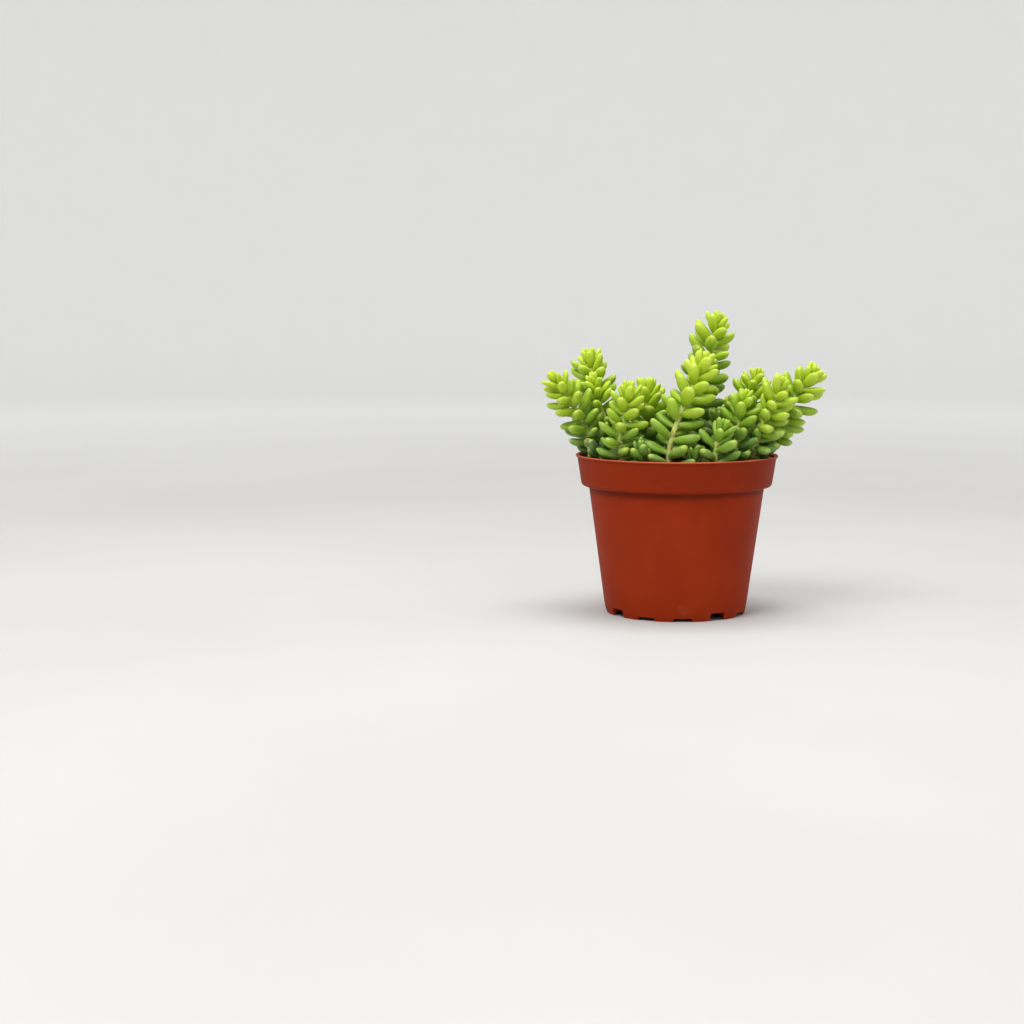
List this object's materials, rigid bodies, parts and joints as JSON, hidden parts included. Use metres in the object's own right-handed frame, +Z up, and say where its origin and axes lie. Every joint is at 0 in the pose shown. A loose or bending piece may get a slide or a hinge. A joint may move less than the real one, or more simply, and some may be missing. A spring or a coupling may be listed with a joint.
{
  "type": "potted plant",
  "caption": "Small leafy succulent in a round plastic nursery pot; stands on a flat surface and is carried by the pot's rim.",
  "frame": {"origin": "bottom centre of the whole outline, on the surface that the pot stands on; the pot's own axis is a few millimetres to the left of it", "axes": "+Z up along the pot's axis, +X to the right and -Y towards the front, where the most shoots are seen"},
  "size_m": [0.139, 0.1008, 0.151],
  "materials": {
    "pot_plastic": "satin",
    "soil": "matte",
    "sedum": "satin"
  },
  "bodies": {
    "root": {"pot": "pot_plastic", "potting_soil": "soil", "shoot_centre_front": "sedum", "shoot_left_front": "sedum", "shoot_right_front": "sedum", "shoot_right_inner_front": "sedum", "shoot_right_spreading": "sedum", "shoot_left_middle": "sedum", "shoot_far_left": "sedum", "shoot_far_right": "sedum", "shoot_tall_centre": "sedum", "shoot_left_tall": "sedum", "shoot_left_short": "sedum", "shoot_right_tall": "sedum", "shoot_right_offset": "sedum", "shoot_left_offset": "sedum", "shoot_middle": "sedum", "shoot_back_left": "sedum", "shoot_back_centre": "sedum", "shoot_back_right": "sedum", "shoot_back_far_right": "sedum", "shoot_back_inner": "sedum", "shoot_back_far_left": "sedum", "shoot_left_inner": "sedum", "shoot_front_left_offset": "sedum", "shoot_front_right_offset": "sedum", "shoot_centre_right": "sedum", "shoot_back_left_inner": "sedum", "shoot_back_right_inner": "sedum"}
  },
  "joints": []
}
